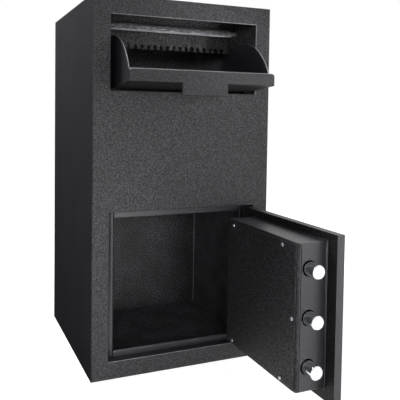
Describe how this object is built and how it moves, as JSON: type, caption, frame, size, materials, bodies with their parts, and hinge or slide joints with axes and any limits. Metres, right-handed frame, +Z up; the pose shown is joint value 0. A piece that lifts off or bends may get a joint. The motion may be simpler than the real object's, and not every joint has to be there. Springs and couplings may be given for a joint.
{
  "type": "drop safe with deposit hopper",
  "caption": "Front-loading steel drop safe: tilting deposit hopper above a hinged, bolted door with keypad and lever handle.",
  "frame": {"origin": "middle of the cabinet's footprint, on its underside", "axes": "+Z up, -Y out of the front with the hopper and the door, +X towards the door's hinge side"},
  "size_m": [0.3636, 0.6125, 0.685],
  "materials": {
    "powder_coat": "black textured powder coat on steel",
    "satin_paint": "black satin powder coat on steel",
    "bolt_chrome": "bright chrome plate",
    "zinc_steel": "bright zinc plate on steel",
    "lock_casting": "die-cast zinc, as cast",
    "stop_rubber": "black rubber",
    "keypad_plastic": "black moulded ABS",
    "key_plastic": "grey moulded keys",
    "board": "circuit board"
  },
  "bodies": {
    "cabinet": {"front_plate": "powder_coat", "left_wall": "powder_coat", "right_wall": "powder_coat", "top_plate": "powder_coat", "bottom_plate": "powder_coat", "back_plate": "powder_coat", "jamb_left": "satin_paint", "jamb_right": "satin_paint", "jamb_top": "satin_paint", "jamb_bottom": "satin_paint", "chute_cheek_left": "satin_paint", "chute_cheek_right": "satin_paint", "lintel_bar": "satin_paint", "lintel_boss_left": "zinc_steel", "lintel_boss_right": "zinc_steel", "sawtooth_baffle": "powder_coat", "hopper_stop_left": "stop_rubber", "hopper_stop_right": "stop_rubber"},
    "hopper": {"hopper_panel": "powder_coat", "hopper_side_left": "satin_paint", "hopper_side_right": "satin_paint", "hopper_ramp": "satin_paint", "hopper_rod": "zinc_steel"},
    "door": {"door_plate": "powder_coat", "hinge_pin_upper": "satin_paint", "hinge_pin_lower": "satin_paint", "bolt_box": "satin_paint", "lock_cover": "powder_coat", "cover_screw_1": "zinc_steel", "cover_screw_2": "zinc_steel", "cover_screw_3": "zinc_steel", "cover_screw_4": "zinc_steel", "cover_screw_5": "zinc_steel", "guide_stud_lower": "zinc_steel", "guide_stud_upper": "zinc_steel", "handle_rose": "bolt_chrome", "lock_body": "lock_casting", "keypad_housing": "keypad_plastic", "keypad_board": "board"},
    "boltwork": {"bolt_lower": "bolt_chrome", "bolt_middle": "bolt_chrome", "bolt_upper": "bolt_chrome", "bolt_carrier": "zinc_steel"},
    "handle": {"handle_lever": "bolt_chrome", "spindle": "zinc_steel", "bolt_cam": "zinc_steel"},
    "lock_bolt": {"lock_bolt": "zinc_steel"},
    "key_1": {"key_1": "key_plastic"},
    "key_2": {"key_2": "key_plastic"},
    "key_3": {"key_3": "key_plastic"},
    "key_4": {"key_4": "key_plastic"},
    "key_5": {"key_5": "key_plastic"},
    "key_6": {"key_6": "key_plastic"},
    "key_7": {"key_7": "key_plastic"},
    "key_8": {"key_8": "key_plastic"},
    "key_9": {"key_9": "key_plastic"},
    "key_star": {"key_star": "key_plastic"},
    "key_0": {"key_0": "key_plastic"},
    "key_hash": {"key_hash": "key_plastic"}
  },
  "joints": [
    {"name": "hopper_tilt", "type": "hinge", "parent": "cabinet", "child": "hopper", "pos_m": [0, -0.1375, 0.51], "axis": [-1, 0, 0], "range_deg": [0, 84.7]},
    {"name": "door_swing", "type": "hinge", "parent": "cabinet", "child": "door", "pos_m": [0.136, -0.1585, 0.167], "axis": [0, 0, 1], "range_deg": [-90, 5]},
    {"name": "handle_turn", "type": "hinge", "parent": "door", "child": "handle", "pos_m": [0.166, -0.3435, 0.13], "axis": [-1, 0, 0], "range_deg": [0, 50]},
    {"name": "bolts_slide", "type": "slide", "parent": "door", "child": "boltwork", "axis": [0, 1, 0], "range_m": [0, 0.022]},
    {"name": "lock_bolt_slide", "type": "slide", "parent": "door", "child": "lock_bolt", "axis": [0, 0, 1], "range_m": [-0.01, 0]},
    {"name": "key_1_press", "type": "slide", "parent": "door", "child": "key_1", "axis": [-1, 0, 0], "range_m": [0, 0.0015], "stiffness_N_per_m": 300},
    {"name": "key_2_press", "type": "slide", "parent": "door", "child": "key_2", "axis": [-1, 0, 0], "range_m": [0, 0.0015], "stiffness_N_per_m": 300},
    {"name": "key_3_press", "type": "slide", "parent": "door", "child": "key_3", "axis": [-1, 0, 0], "range_m": [0, 0.0015], "stiffness_N_per_m": 300},
    {"name": "key_4_press", "type": "slide", "parent": "door", "child": "key_4", "axis": [-1, 0, 0], "range_m": [0, 0.0015], "stiffness_N_per_m": 300},
    {"name": "key_5_press", "type": "slide", "parent": "door", "child": "key_5", "axis": [-1, 0, 0], "range_m": [0, 0.0015], "stiffness_N_per_m": 300},
    {"name": "key_6_press", "type": "slide", "parent": "door", "child": "key_6", "axis": [-1, 0, 0], "range_m": [0, 0.0015], "stiffness_N_per_m": 300},
    {"name": "key_7_press", "type": "slide", "parent": "door", "child": "key_7", "axis": [-1, 0, 0], "range_m": [0, 0.0015], "stiffness_N_per_m": 300},
    {"name": "key_8_press", "type": "slide", "parent": "door", "child": "key_8", "axis": [-1, 0, 0], "range_m": [0, 0.0015], "stiffness_N_per_m": 300},
    {"name": "key_9_press", "type": "slide", "parent": "door", "child": "key_9", "axis": [-1, 0, 0], "range_m": [0, 0.0015], "stiffness_N_per_m": 300},
    {"name": "key_star_press", "type": "slide", "parent": "door", "child": "key_star", "axis": [-1, 0, 0], "range_m": [0, 0.0015], "stiffness_N_per_m": 300},
    {"name": "key_0_press", "type": "slide", "parent": "door", "child": "key_0", "axis": [-1, 0, 0], "range_m": [0, 0.0015], "stiffness_N_per_m": 300},
    {"name": "key_hash_press", "type": "slide", "parent": "door", "child": "key_hash", "axis": [-1, 0, 0], "range_m": [0, 0.0015], "stiffness_N_per_m": 300}
  ],
  "couplings": [
    {"joint": "bolts_slide", "follows": "handle_turn", "m_per_rad": 0.0252}
  ]
}
